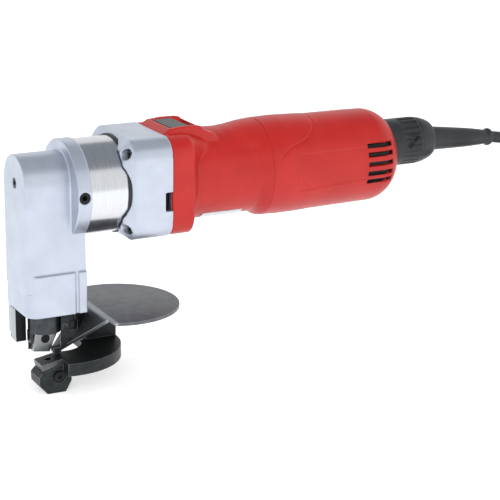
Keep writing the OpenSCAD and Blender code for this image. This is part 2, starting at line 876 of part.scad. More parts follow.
module plug_side()
  polygon([[-2, 3], [6, 0], [34, 0], [38, 2], [38, 16], [34, plug_h], [6, plug_h], [-2, 15]]);

// Moulded plug: a round sleeve that swells into a flat-sided body
module mains_plug() color("#1b1d1e")
  translate([tail_x, plug_y, 0]) rotate([0, 0, 180])
    difference() {
      union() {
        translate([0, -12, plug_h / 2]) rotate([-90, 0, 0]) cylinder(r1 = 5, r2 = 7, h = 16, $fn = 32);
        intersection() {
          linear_extrude(plug_h) plug_top();
          translate([-20, 0, 0]) rotate([90, 0, 90]) linear_extrude(40) plug_side();
        }
      }
      plug_blades();
    }

module plug_blades()
  for (sx = [-1, 1])
    translate([sx * 6.35 - 0.75, 30, (plug_h - 6.3) / 2]) cube([1.5, 25, 6.3]);

module plug_pins() color("#c2a355")
  translate([tail_x, plug_y, 0]) rotate([0, 0, 180]) plug_blades();

gear_case();
gear_case_screws();
neck_seal();
bearing_plate();
intermediate_pin();
motor_housing();
rear_cover();
rear_cover_screws();
rating_plate();
field_core();
field_coils();
fan_baffle();
brush_bracket();
bracket_screws();
brush_holders();
brushes();
brush_springs();
armature_front_bearing();
armature_rear_bearing();
switch_body();
inlet_socket();
inlet_pins();
armature_shaft();
armature_core();
armature_windings();
commutator();
cooling_fan();
cluster_gear();
eccentric_shaft();
drive_gear();
crank_roller();
counterweight();
shear_head();
swivel_neck();
neck_retaining_ring();
output_bearings();
plunger_bush();
neck_lock_screw();
head_front_screw();
hold_down();
hold_down_screw();
lower_blade_holder();
holder_bolts();
guide_plate();
guide_plate_screws();
lower_blade();
lower_blade_clamp();
plunger();
upper_blade();
upper_blade_screw();
switch_slider();
collar();
connector_core();
strain_relief();
power_cord();
cord_coil();
cord_tie();
cord_tail();
mains_plug();
plug_pins();
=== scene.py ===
# Looks of a hand-held sheet-metal shear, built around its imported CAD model.
import json
import math

import bmesh
import bpy
import numpy as np
from mathutils import Matrix, Vector

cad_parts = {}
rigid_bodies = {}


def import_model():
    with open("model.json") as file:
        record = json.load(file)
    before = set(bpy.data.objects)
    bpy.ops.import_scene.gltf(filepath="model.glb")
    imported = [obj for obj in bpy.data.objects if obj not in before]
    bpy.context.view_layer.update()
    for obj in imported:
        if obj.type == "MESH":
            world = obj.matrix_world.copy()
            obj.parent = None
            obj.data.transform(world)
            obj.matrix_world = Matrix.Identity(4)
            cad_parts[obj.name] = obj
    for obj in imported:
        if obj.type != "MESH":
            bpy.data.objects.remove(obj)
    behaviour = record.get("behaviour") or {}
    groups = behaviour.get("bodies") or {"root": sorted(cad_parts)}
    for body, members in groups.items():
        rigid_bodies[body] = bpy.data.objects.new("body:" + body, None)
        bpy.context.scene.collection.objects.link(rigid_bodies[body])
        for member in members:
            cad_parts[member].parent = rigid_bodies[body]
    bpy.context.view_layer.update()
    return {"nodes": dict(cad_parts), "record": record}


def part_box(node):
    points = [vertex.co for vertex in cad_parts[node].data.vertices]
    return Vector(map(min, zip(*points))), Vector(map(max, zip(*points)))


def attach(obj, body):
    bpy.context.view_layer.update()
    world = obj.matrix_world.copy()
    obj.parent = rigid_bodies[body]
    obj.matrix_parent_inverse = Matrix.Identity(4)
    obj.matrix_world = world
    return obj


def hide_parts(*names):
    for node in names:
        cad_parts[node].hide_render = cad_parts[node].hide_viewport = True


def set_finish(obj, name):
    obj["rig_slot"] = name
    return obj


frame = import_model()

MM = 0.001

# ---------- places, from the frame ----------
# Stations run back from the front face of the head, in millimetres, and heights are from the barrel axis.
FRONT_Y = -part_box("collar")[1].y / MM
AXIS_Z = sum(v.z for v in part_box("swivel_neck")) / 2 / MM
CONNECTOR_Z = 6.5
TOOL_LEN = (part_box("collar")[1].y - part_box("shear_head")[0].y) / MM


def at(x, s, z):
    """A point of the tool in metres, from its side, station and height in millimetres."""
    return Vector((x * MM, (FRONT_Y + s) * MM, (AXIS_Z + z) * MM))


def rgb(code):
    """Linear colour of an sRGB hex code, with alpha."""
    parts = [int(code[i : i + 2], 16) / 255 for i in (0, 2, 4)]
    return tuple(p / 12.92 if p <= 0.04045 else ((p + 0.055) / 1.055) ** 2.4 for p in parts) + (1.0,)


# ---------- camera ----------
CAMERA_AT = (0.9617, -0.4949, 0.3884)
CAMERA_AZIMUTH = 62.13
CAMERA_PITCH = 16.32
CAMERA_ROLL = 0.73
CAMERA_LENS = 124.1


def make_camera():
    a, p, r = (math.radians(v) for v in (CAMERA_AZIMUTH, CAMERA_PITCH, CAMERA_ROLL))
    forward = Vector((-math.sin(a) * math.cos(p), math.cos(a) * math.cos(p), -math.sin(p)))
    level = Vector((math.cos(a), math.sin(a), 0))
    top = level.cross(forward)
    right = level * math.cos(r) + top * math.sin(r)
    up = top * math.cos(r) - level * math.sin(r)
    camera = bpy.data.objects.new("camera", bpy.data.cameras.new("camera"))
    bpy.context.scene.collection.objects.link(camera)
    camera.data.lens = CAMERA_LENS
    camera.data.sensor_width = 36
    camera.data.clip_end = 20
    turn = Matrix((right, up, -forward)).transposed()
    camera.matrix_world = Matrix.Translation(CAMERA_AT) @ turn.to_4x4()
    bpy.context.scene.camera = camera


make_camera()

# ---------- cord ----------
CORD_R = 4
CORD_EXIT = (0, 201.37, 128.8)
CORD_ROUTE = [
    CORD_EXIT, (0, 212, 127), (-2, 222, 123), (-4, 230, 117), (-7, 238, 107), (-11, 244, 95),
    (-15, 250, 82), (-19, 256, 69), (-22, 261, 56), (-25, 268, 45), (-27, 277, 36), (-28, 288, 29),
    (-29, 301, 24),
]
TAIL_ROUTE = [(61, 292, 4), (61, 284, 5), (61, 276, 7), (61, 268, 9)]
COIL_CENTRE = (8, 300)
COIL_INNER_R = 37
COIL_TOP_Z = 20
COIL_TURNS = 7.5
TURN_STEPS = 48
# Where in a turn the cord moves a column in or out, and where it drops a layer
COLUMN_MOVES = [(0.7, 1), (1.7, 1), (3.5, -1), (4.5, -1), (6.3, 1), (7.1, 1)]
LAYER_DROPS = [2.6, 5.4]
MOVE_SHARE = 0.3
# The cord comes down onto the coil over this share of the first turn
LEAD_SHARE = 0.1
LEAD_RISE = 4


def smooth01(x):
    x = np.clip(x, 0, 1)
    return x * x * (3 - 2 * x)


def coil_points():
    """Turns clockwise from above, three columns wide and three layers deep."""
    points = []
    for i in range(2, int(COIL_TURNS * TURN_STEPS) + 1):
        u = i / TURN_STEPS
        columns = sum(way * smooth01((u - start) / MOVE_SHARE) for start, way in COLUMN_MOVES)
        layers = sum(smooth01((u - start) / MOVE_SHARE) for start in LAYER_DROPS)
        radius = COIL_INNER_R + 2 * CORD_R * columns
        angle = math.pi - 2 * math.pi * u
        points.append((
            COIL_CENTRE[0] + radius * math.cos(angle),
            COIL_CENTRE[1] + radius * math.sin(angle),
            COIL_TOP_Z - 2 * CORD_R * layers + LEAD_RISE * max(0, 1 - u / LEAD_SHARE) ** 2,
        ))
    return points


def curve_through(points, steps):
    """Points of a smooth curve through the given ones, by Catmull-Rom."""
    p = np.array(points, float)
    p = np.vstack([2 * p[0] - p[1], p, 2 * p[-1] - p[-2]])
    out = []
    for a, b, c, d in zip(p[:-3], p[1:-2], p[2:-1], p[3:]):
        for t in np.arange(steps) / steps:
            out.append(0.5 * (2 * b + (c - a) * t + (2 * a - 5 * b + 4 * c - d) * t**2
                              + (3 * b - a - 3 * c + d) * t**3))
    return np.array(out + [p[-2]])


def make_cord():
    points = curve_through(CORD_ROUTE + coil_points()[::2] + TAIL_ROUTE, 3) * MM
    data = bpy.data.curves.new("cord", "CURVE")
    data.dimensions = "3D"
    # The points carry the cord's radius, so that the object's box fits it
    data.bevel_depth = 1
    data.bevel_resolution = 5
    data.use_fill_caps = True
    line = data.splines.new("POLY")
    line.points.add(len(points) - 1)
    line.points.foreach_set("co", np.hstack([points, np.ones((len(points), 1))]).ravel())
    line.points.foreach_set("radius", np.full(len(points), CORD_R * MM))
    line.use_smooth = True
    cord = bpy.data.objects.new("cord", data)
    bpy.context.scene.collection.objects.link(cord)
    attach(cord, "housing")
    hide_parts("power_cord", "cord_coil", "cord_tail")
    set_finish(cord, "cord_rubber")
    length = float(np.linalg.norm(np.diff(points, axis=0), axis=1).sum())
    print("cord length", round(length, 3))
    return cord


cord = make_cord()

# ---------- mesh helpers ----------


def add_object(name, mesh, body, slot, *nodes):
    """Puts a mesh in the scene as a piece that stands for CAD nodes and rides on their body."""
    piece = bpy.data.objects.new(name, mesh)
    bpy.context.scene.collection.objects.link(piece)
    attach(piece, body)
    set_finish(piece, slot)
    if nodes:
        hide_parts(*nodes)
    return piece


def smooth_shade(mesh, degrees=40):
    mesh.shade_smooth()
    mesh.set_sharp_from_angle(angle=math.radians(degrees))


def grid_mesh(name, rows, closed=False, caps=False):
    """Mesh of quads over rows of points (rows, around, 3) in metres; each row is a closed ring.
    closed joins the last row to the first, and caps fills both end rings."""
    n, m = rows.shape[:2]
    index = np.arange(n * m).reshape(n, m)
    a = index if closed else index[:-1]
    b = np.roll(index, -1, 0) if closed else index[1:]
    quads = np.stack([a, b, np.roll(b, -1, 1), np.roll(a, -1, 1)], -1).reshape(-1, 4)
    faces = quads.tolist()
    if caps:
        faces += [index[0].tolist(), index[-1][::-1].tolist()]
    mesh = bpy.data.meshes.new(name)
    mesh.from_pydata(rows.reshape(-1, 3).tolist(), [], faces)
    mesh.update()
    return mesh


def barrel_rows(stations, radii, angles, z=0.0):
    """Rows of points about an axis along the barrel, raised by z. Angle 0 is up, and 90 degrees is +X."""
    s = np.broadcast_to(stations[:, None], radii.shape)
    return np.stack([
        radii * np.sin(angles) * MM,
        (FRONT_Y + s) * MM,
        (AXIS_Z + z + radii * np.cos(angles)) * MM,
    ], -1)


def shell_rows(stations, radii, angles, wall, z=0.0):
    """Closed wall: the outer rows, then the inner ones back to the start."""
    keep = np.unique(np.r_[np.arange(0, len(stations), 6), len(stations) - 1])[::-1]
    inner = np.maximum(radii[keep] - wall, 0.5)
    outer_rows = barrel_rows(stations, radii, angles, z)
    return np.concatenate([outer_rows, barrel_rows(stations[keep], inner, angles, z)])


def spread(*marks, step):
    """Sorted stations from the first mark to the last with a line on each mark, and no gap over step."""
    out = [marks[0]]
    for a, b in zip(marks[:-1], marks[1:]):
        out += list(np.linspace(a, b, max(1, math.ceil((b - a) / step)) + 1)[1:])
    return np.array(out)


def soft_clip(x, d):
    """x held between 0 and 1, with its two corners rounded over a half-width of d."""
    def area(v):
        return np.where(v < 0, 0, np.where(v > 1, v - 0.5, v * v / 2))
    return (area(x + d) - area(x - d)) / (2 * d)


def box_radius(angles, half_w, half_h, corner):
    """Distance from the axis to a rounded rectangle, for each angle."""
    sx, cz = np.abs(np.sin(angles)), np.abs(np.cos(angles))
    side = half_w / np.maximum(sx, 1e-6)
    top = half_h / np.maximum(cz, 1e-6)
    px, pz = half_w - corner, half_h - corner
    along = px * sx + pz * cz
    arc = along + np.sqrt(np.maximum(along**2 - px**2 - pz**2 + corner**2, 0))
    return np.where(side * cz <= pz, side, np.where(top * sx <= px, top, arc))


def window(value, low, high, edge):
    """1 between low and high, 0 outside, over an edge of that width."""
    return smooth01((value - low) / edge + 0.5) * smooth01((high - value) / edge + 0.5)


def mark_faces(mesh, inside):
    """Gives the second material to the faces whose middle, in millimetres, is inside."""
    count = len(mesh.polygons)
    middle = np.zeros(count * 3)
    mesh.polygons.foreach_get("center", middle)
    middle = middle.reshape(-1, 3) / MM
    x, s, z = middle[:, 0], middle[:, 1] - FRONT_Y, middle[:, 2] - AXIS_Z
    mesh.polygons.foreach_set("material_index", inside(x, s, z).astype(np.int32))


# ---------- red housings ----------
BARREL_R = 27.8
SHELL_WALL = 2.4
# How far the radius drops at the ends of a shell
END_EASE = 0.45
BLOCK_END = 105.6
HOUSING_S = 91
SEAM_S = 163
TAIL_S = 264
TAIL_R = 20
ANGLES = np.linspace(0, 2 * math.pi, 400, endpoint=False)

# Slide switch opening
SWITCH_S = (97.6, 118)
SWITCH_HALF = 14
SWITCH_FLOOR = 31

# Height of the top of the barrel and the cover, which swells a little more than their sides
CROWN_S = [112, 128, 137, 145, 154, 162, 177, 196, 204, 232, 250, 264]
CROWN_R = [29.6, 29.5, 29.2, 29.9, 31.4, 32.2, 32.7, 32.1, 31.6, 31.5, 31.2, 31]

# Height of the bezel around the switch
BEZEL_S = [91, 96, 104, 114.5, 117.6, 119.2, 124, 131]
BEZEL_Z = [31.4, 34.3, 35.1, 35, 34.3, 32.3, 29.8, 28]
BEZEL_HALF = 20.5
BEZEL_END = 131

# The barrel starts to flare here at its sides, and this much earlier at the top
FLARE_S = 156
FLARE_LEAN = 5


def crowned(r, s, t):
    """The radius with the top raised to the crown."""
    return r + (np.interp(s, CROWN_S, CROWN_R) - r) * smooth01((np.cos(t) - 0.6) / 0.35)


def housing_radius(s, t):
    block = box_radius(t, 32.7, 31.4, 12)
    start = FLARE_S - FLARE_LEAN * smooth01((np.cos(t) + 0.1) / 1.1)
    flare = (s - start) / (SEAM_S - start)
    barrel = crowned(np.interp(flare, [0, 0.3, 0.85, 1], [BARREL_R, 28.6, 30.8, 31.1]), s, t)
    reach = 5.5 + 12.5 * smooth01((np.cos(t) - 0.35) / 0.6)
    far = soft_clip((s - BLOCK_END) / reach, 0.15)
    r = block * (1 - far) + barrel * far
    up = np.maximum(np.cos(t), 0.3)
    raised = np.interp(s, BEZEL_S, BEZEL_Z) / up
    near = smooth01((BEZEL_HALF - np.abs(raised * np.sin(t))) / 4) * (np.cos(t) > 0.3)
    near = near * smooth01((BEZEL_END - s) / 6)
    r = np.where(near > 0, np.maximum(r, r + (raised - r) * near), r)
    x = r * np.sin(t)
    inside = window(np.abs(x), -1, SWITCH_HALF, 0.7) * window(s, *SWITCH_S, 0.7) * (np.cos(t) > 0)
    r = r * (1 - inside) + np.minimum(r, SWITCH_FLOOR / up) * inside
    # The ends are eased, and a fine groove shows at the seam
    r = r - END_EASE * smooth01((HOUSING_S + 0.7 - s) / 0.7)
    return r - END_EASE * smooth01((s - SEAM_S + 0.7) / 0.7)


def make_motor_housing():
    stations = spread(HOUSING_S, HOUSING_S + 0.35, HOUSING_S + 0.7, SWITCH_S[0] - 0.4, SWITCH_S[0] + 0.4,
                      BLOCK_END, SWITCH_S[1] - 0.4, SWITCH_S[1] + 0.4, FLARE_S - FLARE_LEAN, FLARE_S,
                      SEAM_S - 0.7, SEAM_S - 0.35, SEAM_S, step=0.62)
    s, t = np.meshgrid(stations, ANGLES, indexing="ij")
    rows = shell_rows(stations, housing_radius(s, t), ANGLES, SHELL_WALL)
    mesh = grid_mesh("motor_housing_look", rows, closed=True)
    smooth_shade(mesh, 60)
    # The floor of the switch opening is marked for the black painted shade.
    mark_faces(mesh, lambda x, s, z: (np.abs(x) < SWITCH_HALF - 0.4) & (z > 30) & (z < SWITCH_FLOOR + 0.6)
               & (s > SWITCH_S[0]) & (s < SWITCH_S[1]))
    return add_object("motor_housing_look", mesh, "housing", "red_plastic", "motor_housing")


PANEL_S = (182, 232.5)
PANEL_Z = (-12, 12.5)
PANEL_SLOPE = 0.06
PANEL_DEPTH = 0.55
VENT_S = (233.5, 253)
VENT_Z = [12.8, 7.1, 0.8, -5.6, -11]
VENT_H = 2.7
VENT_DEPTH = 2.3
SEAT_S = 256
SEAT_R = 16.7
GRIP_DEPTH = 0.4
GRIP_LINE = [(200.5, 31.5), (199, 28.4), (193.9, 23.7), (187.7, 20.1), (176.8, 16.8), (169.4, 11.6),
             (166.8, 5.7)]


def distance_to_line(s, z, points):
    """Distance in the side view to a polyline."""
    best = np.full(s.shape, 1e9)
    for (s0, z0), (s1, z1) in zip(points[:-1], points[1:]):
        ds, dz = s1 - s0, z1 - z0
        along = np.clip(((s - s0) * ds + (z - z0) * dz) / (ds * ds + dz * dz), 0, 1)
        best = np.minimum(best, np.hypot(s - s0 - along * ds, z - z0 - along * dz))
    return best


def cover_form(s, t):
    """Radius of the rear cover before its grooves, panels and vents."""
    r = np.interp(s, [SEAM_S, 176, 190, 200, 225, 250], [31.1, 31.6, 31.5, 31, 30.6, 30.2])
    back = np.clip(s - (TAIL_S - TAIL_R), 0, TAIL_R)
    return crowned(r, s, t) - TAIL_R + np.sqrt(np.maximum(TAIL_R**2 - back**2, 0))


def cover_radius(s, t):
    r = cover_form(s, t)
    z = r * np.cos(t)
    side = np.abs(np.sin(t)) > 0.3
    grip = curve_through([(a, b, 0) for a, b in GRIP_LINE], 4)[:, :2]
    near = distance_to_line(s, z, grip) * np.where(side | (z > 20), 1, 9)
    r = r - GRIP_DEPTH * np.exp(-((near / 0.5) ** 2))
    panel_low = PANEL_Z[0] + (s - PANEL_S[0]) * PANEL_SLOPE
    panel = window(s, *PANEL_S, 0.6) * window(z, panel_low, PANEL_Z[1], 0.6) * side
    r = r - PANEL_DEPTH * panel
    for vent in VENT_Z:
        slot = window(s, *VENT_S, 0.5) * window(z, vent - VENT_H / 2, vent + VENT_H / 2, 0.5) * side
        r = r - VENT_DEPTH * slot
    return r - END_EASE * smooth01((SEAM_S + 0.7 - s) / 0.7)


def make_rear_cover():
    stations = spread(SEAM_S, SEAM_S + 0.35, SEAM_S + 0.7, PANEL_S[0] - 0.4, PANEL_S[0] + 0.4,
                      PANEL_S[1] - 0.4, PANEL_S[1] + 0.4, VENT_S[0] - 0.3, VENT_S[0] + 0.3,
                      VENT_S[1] - 0.3, VENT_S[1] + 0.3, TAIL_S - 4, step=0.6)
    end = TAIL_S - TAIL_R + TAIL_R * np.sin(np.radians(np.linspace(50, 89, 16)))
    stations = np.r_[stations[stations < end[0] - 0.2], end]
    s, t = np.meshgrid(stations, ANGLES, indexing="ij")
    rows = shell_rows(stations, cover_radius(s, t), ANGLES, SHELL_WALL)
    mesh = grid_mesh("rear_cover_look", rows, closed=True)
    piece = add_object("rear_cover_look", mesh, "housing", "red_plastic", "rear_cover")
    seat = rod_between("seat_cutter", at(0, SEAT_S, CONNECTOR_Z), at(0, TAIL_S + 26, CONNECTOR_Z), SEAT_R)
    cut_from(piece, seat)
    smooth_shade(piece.data, 50)

    def in_vent(x, s, z):
        depth = cover_form(s, np.arctan2(x, z)) - np.hypot(x, z)
        return (depth > 1.2) & (depth < 3.4) & (s > VENT_S[0]) & (s < VENT_S[1])

    # The floors of the vent slots are marked for the black painted shade.
    mark_faces(piece.data, in_vent)
    return piece


def rod_between(name, a, b, radius):
    """A plain cutter cylinder from a to b."""
    mesh = bpy.data.meshes.new(name)
    bm = bmesh.new()
    bmesh.ops.create_cone(bm, cap_ends=True, segments=96, radius1=radius * MM, radius2=radius * MM,
                          depth=(b - a).length)
    bm.to_mesh(mesh)
    bm.free()
    cutter = bpy.data.objects.new(name, mesh)
    bpy.context.scene.collection.objects.link(cutter)
    turn = (b - a).to_track_quat("Z", "Y").to_matrix().to_4x4()
    cutter.matrix_world = Matrix.Translation((a + b) / 2) @ turn
    return cutter


def apply_modifiers(piece):
    """Replaces the piece's mesh with its evaluated one."""
    bpy.context.view_layer.update()
    made = bpy.data.meshes.new_from_object(piece.evaluated_get(bpy.context.evaluated_depsgraph_get()))
    piece.modifiers.clear()
    old = piece.data
    piece.data = made
    bpy.data.meshes.remove(old)
    made.name = piece.name


def cut_from(piece, *cutters):
    for cutter in cutters:
        cut = piece.modifiers.new("cut", "BOOLEAN")
        cut.operation = "DIFFERENCE"
        cut.solver = "EXACT"
        cut.object = cutter
    apply_modifiers(piece)
    for cutter in cutters:
        bpy.data.objects.remove(cutter)


# ---------- soft-edged copies of castings and mouldings ----------


def soft_copy(node, body, slot, voxel, rounds, thin):
    """A copy of a CAD node with rounded edges, as a casting or moulding has."""
    mesh = frame["nodes"][node].data.copy()
    mesh.materials.clear()
    piece = add_object(node + "_look", mesh, body, slot, node)
    weld = piece.modifiers.new("weld", "WELD")
    weld.merge_threshold = 1e-6
    remesh = piece.modifiers.new("remesh", "REMESH")
    remesh.mode = "VOXEL"
    remesh.voxel_size = voxel * MM
    smooth = piece.modifiers.new("smooth", "SMOOTH")
    smooth.factor = 0.5
    smooth.iterations = rounds
    decimate = piece.modifiers.new("thin", "DECIMATE")
    decimate.ratio = thin
    apply_modifiers(piece)
    piece.data.shade_smooth()
    return piece


make_motor_housing()
make_rear_cover()

SOFT_COPIES = [
    ("gear_case", "housing", "painted_casting", 0.5, 5, 0.5),
    ("shear_head", "head", "painted_casting", 0.5, 6, 0.5),
    ("switch_slider", "slider", "knob_plastic", 0.3, 3, 0.6),
    ("mains_plug", "housing", "black_rubber", 0.45, 6, 0.6),
]
for item in SOFT_COPIES:
    soft_copy(*item)

# ---------- cord connector ----------
COLLAR_S = 258
COLLAR_BORE_R = 11.25


def make_collar():
    """Twist-lock collar: a smooth rim, a band of grip ribs with an arrow notch, and a rounded shoulder."""
    angles = np.linspace(0, 2 * math.pi, 288, endpoint=False)
    stations = spread(COLLAR_S, COLLAR_S + 0.4, COLLAR_S + 1, 270.7, 271.3, 283.2, 283.8, 290, 295.6, 296.3,
                      TOOL_LEN, step=0.7)
    s, t = np.meshgrid(stations, angles, indexing="ij")
    r = np.interp(s, [COLLAR_S, COLLAR_S + 0.4, COLLAR_S + 1, 285, 290, 294, 295.6, 296.3, TOOL_LEN],
                  [15.2, 15.6, 15.9, 15.9, 15, 13.7, 12.9, 12.5, 12])
    ribs = 0.5 + 0.5 * np.clip(np.sin(t * 24) * 3, -1, 1)
    band = window(s, 271, 283.5, 0.6)
    turned = (np.degrees(t) + 180) % 360 - 180
    arrow = window(s, 273.5, 282.5, 0.5) * window(turned, 62, 62 + 34 * np.clip((283.5 - s) / 9, 0.25, 1), 3)
    r = r - band * (1 - ribs) * 0.7 - arrow * 1.6
    r = r - 0.5 * np.exp(-(((s - 285.3) / 0.5) ** 2))
    back = stations[::-6]
    inner = barrel_rows(back, np.full((len(back), len(angles)), COLLAR_BORE_R), angles, CONNECTOR_Z)
    rows = np.concatenate([barrel_rows(stations, r, angles, CONNECTOR_Z), inner])
    mesh = grid_mesh("collar_look", rows, closed=True)
    smooth_shade(mesh, 50)
    return add_object("collar_look", mesh, "twist_collar", "black_plastic", "collar")


def make_strain_relief():
    """Tapered sleeve that droops a little, with an end bead."""
    profile = [(0.05, 0), (8, 0), (8.2, 0.5), (8.1, 3), (7.8, 9), (7.2, 20), (6.4, 33), (5.4, 44), (4.9, 48),
               (5.6, 49.2), (6, 50.4), (5.7, 51.8), (4.8, 52.8), (4.2, 53), (0.05, 53)]
    angles = np.linspace(0, 2 * math.pi, 64, endpoint=False)
    end = Vector(CORD_EXIT) * MM
    start = at(0, TOOL_LEN, CONNECTOR_Z)
    along = (end - start).normalized()
    side = Vector((1, 0, 0))
    up = side.cross(along)
    steps = curve_through([(r, d, 0) for r, d in profile], 3)[:, :2]
    rows = [
        [start + along * d * MM + (side * math.sin(a) + up * math.cos(a)) * max(r, 0.05) * MM for a in angles]
        for r, d in steps
    ]
    mesh = grid_mesh("strain_relief_look", np.array(rows), caps=True)
    smooth_shade(mesh, 50)
    return add_object("strain_relief_look", mesh, "housing", "black_rubber", "strain_relief")


make_collar()
relief = make_strain_relief()

# ---------- guide plate ----------
DISC_R = 40.7
DISC_S = 65.8
DISC_Z = -79
PLATE_T = 2
BEND_S = 49
BEND_R = 5
RAMP_DEG = 44.4
RAMP_OUTLINE = [(28, 0.4), (3.6, 34.5), (-5, 34.5), (-8, 26)]


def bent(x, v):
    """Point on the plate's top face: v runs back from the bend line, and below 0 goes down the ramp."""
    ramp = math.radians(RAMP_DEG)
    half = BEND_R * math.tan(ramp / 2)
    if v >= half:
        return at(x, BEND_S + v, DISC_Z)
    if v <= -half:
        return at(x, BEND_S + v * math.cos(ramp), DISC_Z + v * math.sin(ramp))
    turn = ramp * (half - v) / (2 * half)
    return at(x, BEND_S + half - BEND_R * math.sin(turn), DISC_Z - BEND_R * (1 - math.cos(turn)))


def make_guide_plate():
    reach = math.acos((DISC_S - BEND_S) / DISC_R)
    start = math.pi + math.pi / 2 - reach
    arc = np.linspace(start, start - 2 * (math.pi - reach), 120)
    outline = [(DISC_R * math.cos(a), DISC_S - BEND_S + DISC_R * math.sin(a)) for a in arc]
    outline += [(x, -v) for x, v in RAMP_OUTLINE] + [(-8, 0)]
    bm = bmesh.new()
    verts = [bm.verts.new((x, v, 0)) for x, v in outline]
    bm.faces.new(verts)
    for v in np.linspace(-2.4, 2.4, 13):
        bmesh.ops.bisect_plane(bm, geom=bm.verts[:] + bm.edges[:] + bm.faces[:], plane_co=(0, v, 0),
                               plane_no=(0, 1, 0))
    for vert in bm.verts:
        vert.co = bent(vert.co.x, vert.co.y)
    bm.normal_update()
    if sum(f.normal.z for f in bm.faces) < 0:
        bmesh.ops.reverse_faces(bm, faces=bm.faces[:])
    mesh = bpy.data.meshes.new("guide_plate_look")
    bm.to_mesh(mesh)
    bm.free()
    piece = add_object("guide_plate_look", mesh, "head", "plate_steel", "guide_plate")
    solid = piece.modifiers.new("solid", "SOLIDIFY")
    solid.thickness = PLATE_T * MM
    solid.offset = -1
    edge = piece.modifiers.new("edge", "BEVEL")
    edge.width = 0.3 * MM
    edge.segments = 2
    edge.limit_method = "ANGLE"
    edge.angle_limit = math.radians(50)
    apply_modifiers(piece)
    smooth_shade(piece.data, 30)
    return piece


make_guide_plate()

# ---------- materials ----------


class Paint:
    """A node material with a Principled shader, and short calls that add to it."""

    def __init__(self, name, colour, roughness, metallic=0.0, **inputs):
        self.material = bpy.data.materials.new(name)
        self.material.use_nodes = True
        self.tree = self.material.node_tree
        self.shader = self.tree.nodes["Principled BSDF"]
        self.place = self.tree.nodes.new("ShaderNodeTexCoord").outputs["Object"]
        self.shader.inputs["Base Color"].default_value = rgb(colour)
        self.shader.inputs["Roughness"].default_value = roughness
        self.shader.inputs["Metallic"].default_value = metallic
        for socket, value in inputs.items():
            self.shader.inputs[socket.replace("_", " ")].default_value = value

    def node(self, kind, links=(), **settings):
        made = self.tree.nodes.new(kind)
        for key, value in settings.items():
            if hasattr(made, key):
                setattr(made, key, value)
            else:
                made.inputs[key.replace("_", " ")].default_value = value
        for socket, output in dict(links).items():
            self.tree.links.new(output, made.inputs[socket])
        return made

    def noise(self, size_mm, detail=3.0, stretch=None):
        """Noise from 0 to 1 whose grains are about size_mm across, drawn out along an axis by stretch."""
        place = self.place
        if stretch:
            place = self.node("ShaderNodeMapping", {"Vector": place}, Scale=stretch).outputs[0]
        made = self.node("ShaderNodeTexNoise", {"Vector": place}, Scale=1 / (size_mm * MM), Detail=detail)
        return made.outputs["Fac"]

    def fit(self, value, low, high, to_low, to_high):
        made = self.node("ShaderNodeMapRange", {"Value": value})
        for key, number in (("From Min", low), ("From Max", high), ("To Min", to_low), ("To Max", to_high)):
            made.inputs[key].default_value = number
        return made.outputs["Result"]

    def math(self, operation, a, b):
        made = self.node("ShaderNodeMath", operation=operation)
        for i, value in enumerate((a, b)):
            if isinstance(value, (int, float)):
                made.inputs[i].default_value = value
            else:
                self.tree.links.new(value, made.inputs[i])
        return made.outputs[0]

    def blend(self, share, first, second):
        """Colour from first to second; each is a hex code or an output."""
        made = self.node("ShaderNodeMix", data_type="RGBA")
        self.tree.links.new(share, made.inputs["Factor"])
        for socket, value in ((6, first), (7, second)):
            if isinstance(value, str):
                made.inputs[socket].default_value = rgb(value)
            else:
                self.tree.links.new(value, made.inputs[socket])
        return made.outputs[2]

    def edges(self, radius_mm):
        """Share from 0 to 1 that is high along edges, and the rounded normal."""
        bevel = self.node("ShaderNodeBevel", samples=6, Radius=radius_mm * MM)
        flat = self.node("ShaderNodeNewGeometry").outputs["Normal"]
        dot = self.node("ShaderNodeVectorMath", operation="DOT_PRODUCT")
        self.tree.links.new(bevel.outputs[0], dot.inputs[0])
        self.tree.links.new(flat, dot.inputs[1])
        return self.fit(dot.outputs["Value"], 0.995, 0.86, 0, 1), bevel.outputs[0]

    def bump(self, height, depth_mm, normal=None, strength=1.0):
        links = {"Height": height}
        if normal is not None:
            links["Normal"] = normal
        made = self.node("ShaderNodeBump", links, Distance=depth_mm * MM, Strength=strength)
        return made.outputs[0]

    def axis(self, name):
        return self.node("ShaderNodeSeparateXYZ", {"Vector": self.place}).outputs[name]

    def wire(self, socket, output):
        self.tree.links.new(output, self.shader.inputs[socket])
        return self


def painted_casting():
    p = Paint("painted_casting", "AEB6C4", 0.34, 0.72)
    cloud, grain = p.noise(14), p.noise(0.35, 2)
    edge, round_normal = p.edges(0.5)
    colour = p.blend(p.fit(cloud, 0.3, 0.7, 0, 1), "B4BBC8", "BEC5D2")
    # The edges are lightened towards DDE2EA as a painted highlight.
    p.wire("Base Color", p.blend(p.math("MULTIPLY", edge, 0.35), colour, "DDE2EA"))
    p.wire("Roughness", p.fit(grain, 0.3, 0.7, 0.3, 0.4))
    p.wire("Normal", p.bump(grain, 0.012, round_normal, 0.5))
    return p.material


def turned_steel(name, low, high, roughness, edge_mm=0.3, line_mm=0.25):
    """Steel with fine rings around the barrel's axis, from turning."""
    p = Paint(name, low, roughness, 1.0)
    rings = p.noise(line_mm, 2, (0.02, 1, 0.02))
    edge, round_normal = p.edges(edge_mm)
    colour = p.blend(p.fit(rings, 0.25, 0.75, 0, 1), low, high)
    # The edges are lightened towards F2F4F6 as a painted highlight.
    p.wire("Base Color", p.blend(p.math("MULTIPLY", edge, 0.5), colour, "F2F4F6"))
    p.wire("Roughness", p.fit(rings, 0.2, 0.8, roughness - 0.05, roughness + 0.06))
    p.wire("Normal", p.bump(rings, 0.004, round_normal, 0.5))
    return p.material


